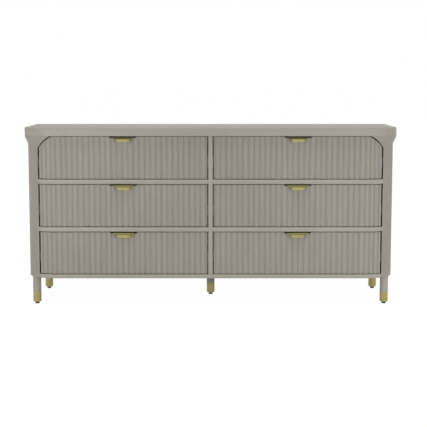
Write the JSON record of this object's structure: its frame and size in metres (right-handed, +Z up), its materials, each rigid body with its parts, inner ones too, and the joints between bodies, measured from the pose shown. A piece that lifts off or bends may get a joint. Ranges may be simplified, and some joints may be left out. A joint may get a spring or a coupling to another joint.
{
  "type": "chest of drawers",
  "caption": "Wide low dresser with rounded front corners, reeded drawers in two columns, edge pulls and round legs with metal tips.",
  "frame": {"origin": "on the floor, under the middle of the top panel", "axes": "+X along the width to the viewer's right, the drawers open towards -Y, +Z up"},
  "size_m": [1.711, 0.508, 0.813],
  "materials": {
    "painted_wood": "satin paint",
    "drawer_wood": "clear lacquer",
    "drawer_board": "plain plywood",
    "back_board": "painted board",
    "brass": "brushed",
    "runner_steel": "zinc plated",
    "bolt_steel": "zinc plated",
    "glide_plastic": "moulded"
  },
  "bodies": {
    "case": {"top_panel": "painted_wood", "left_front_post": "painted_wood", "right_front_post": "painted_wood", "left_side_panel": "painted_wood", "right_side_panel": "painted_wood", "centre_partition": "painted_wood", "bottom_panel": "painted_wood", "back_panel": "back_board", "upper_left_rail": "painted_wood", "upper_right_rail": "painted_wood", "lower_left_rail": "painted_wood", "lower_right_rail": "painted_wood", "left_runner_battens": "drawer_wood", "right_runner_battens": "drawer_wood", "runner_outer_members": "runner_steel", "front_left_leg": "painted_wood", "front_right_leg": "painted_wood", "rear_left_leg": "painted_wood", "rear_right_leg": "painted_wood", "centre_leg": "painted_wood", "leg_ferrules": "brass", "leg_bolts": "bolt_steel", "leg_glides": "glide_plastic"},
    "lower_right_drawer": {"lower_right_drawer_front": "painted_wood", "lower_right_drawer_box": "drawer_wood", "lower_right_drawer_bottom": "drawer_board", "lower_right_pull": "brass", "lower_right_runner_inner": "runner_steel"},
    "lower_right_runner_middle": {"lower_right_runner_middle": "runner_steel"},
    "lower_left_drawer": {"lower_left_drawer_front": "painted_wood", "lower_left_drawer_box": "drawer_wood", "lower_left_drawer_bottom": "drawer_board", "lower_left_pull": "brass", "lower_left_runner_inner": "runner_steel"},
    "lower_left_runner_middle": {"lower_left_runner_middle": "runner_steel"},
    "middle_right_drawer": {"middle_right_drawer_front": "painted_wood", "middle_right_drawer_box": "drawer_wood", "middle_right_drawer_bottom": "drawer_board", "middle_right_pull": "brass", "middle_right_runner_inner": "runner_steel"},
    "middle_right_runner_middle": {"middle_right_runner_middle": "runner_steel"},
    "middle_left_drawer": {"middle_left_drawer_front": "painted_wood", "middle_left_drawer_box": "drawer_wood", "middle_left_drawer_bottom": "drawer_board", "middle_left_pull": "brass", "middle_left_runner_inner": "runner_steel"},
    "middle_left_runner_middle": {"middle_left_runner_middle": "runner_steel"},
    "upper_right_drawer": {"upper_right_drawer_front": "painted_wood", "upper_right_drawer_box": "drawer_wood", "upper_right_drawer_bottom": "drawer_board", "upper_right_pull": "brass", "upper_right_runner_inner": "runner_steel"},
    "upper_right_runner_middle": {"upper_right_runner_middle": "runner_steel"},
    "upper_left_drawer": {"upper_left_drawer_front": "painted_wood", "upper_left_drawer_box": "drawer_wood", "upper_left_drawer_bottom": "drawer_board", "upper_left_pull": "brass", "upper_left_runner_inner": "runner_steel"},
    "upper_left_runner_middle": {"upper_left_runner_middle": "runner_steel"}
  },
  "joints": [
    {"name": "lower_right_drawer_slide", "type": "slide", "parent": "case", "child": "lower_right_drawer", "axis": [0, -1, 0], "range_m": [0, 0.35]},
    {"name": "lower_right_runner_middle_slide", "type": "slide", "parent": "case", "child": "lower_right_runner_middle", "axis": [0, -1, 0], "range_m": [0, 0.175]},
    {"name": "lower_left_drawer_slide", "type": "slide", "parent": "case", "child": "lower_left_drawer", "axis": [0, -1, 0], "range_m": [0, 0.35]},
    {"name": "lower_left_runner_middle_slide", "type": "slide", "parent": "case", "child": "lower_left_runner_middle", "axis": [0, -1, 0], "range_m": [0, 0.175]},
    {"name": "middle_right_drawer_slide", "type": "slide", "parent": "case", "child": "middle_right_drawer", "axis": [0, -1, 0], "range_m": [0, 0.35]},
    {"name": "middle_right_runner_middle_slide", "type": "slide", "parent": "case", "child": "middle_right_runner_middle", "axis": [0, -1, 0], "range_m": [0, 0.175]},
    {"name": "middle_left_drawer_slide", "type": "slide", "parent": "case", "child": "middle_left_drawer", "axis": [0, -1, 0], "range_m": [0, 0.35]},
    {"name": "middle_left_runner_middle_slide", "type": "slide", "parent": "case", "child": "middle_left_runner_middle", "axis": [0, -1, 0], "range_m": [0, 0.175]},
    {"name": "upper_right_drawer_slide", "type": "slide", "parent": "case", "child": "upper_right_drawer", "axis": [0, -1, 0], "range_m": [0, 0.35]},
    {"name": "upper_right_runner_middle_slide", "type": "slide", "parent": "case", "child": "upper_right_runner_middle", "axis": [0, -1, 0], "range_m": [0, 0.175]},
    {"name": "upper_left_drawer_slide", "type": "slide", "parent": "case", "child": "upper_left_drawer", "axis": [0, -1, 0], "range_m": [0, 0.35]},
    {"name": "upper_left_runner_middle_slide", "type": "slide", "parent": "case", "child": "upper_left_runner_middle", "axis": [0, -1, 0], "range_m": [0, 0.175]}
  ],
  "couplings": [
    {"joint": "lower_right_runner_middle_slide", "follows": "lower_right_drawer_slide", "ratio": 0.5},
    {"joint": "lower_left_runner_middle_slide", "follows": "lower_left_drawer_slide", "ratio": 0.5},
    {"joint": "middle_right_runner_middle_slide", "follows": "middle_right_drawer_slide", "ratio": 0.5},
    {"joint": "middle_left_runner_middle_slide", "follows": "middle_left_drawer_slide", "ratio": 0.5},
    {"joint": "upper_right_runner_middle_slide", "follows": "upper_right_drawer_slide", "ratio": 0.5},
    {"joint": "upper_left_runner_middle_slide", "follows": "upper_left_drawer_slide", "ratio": 0.5}
  ]
}
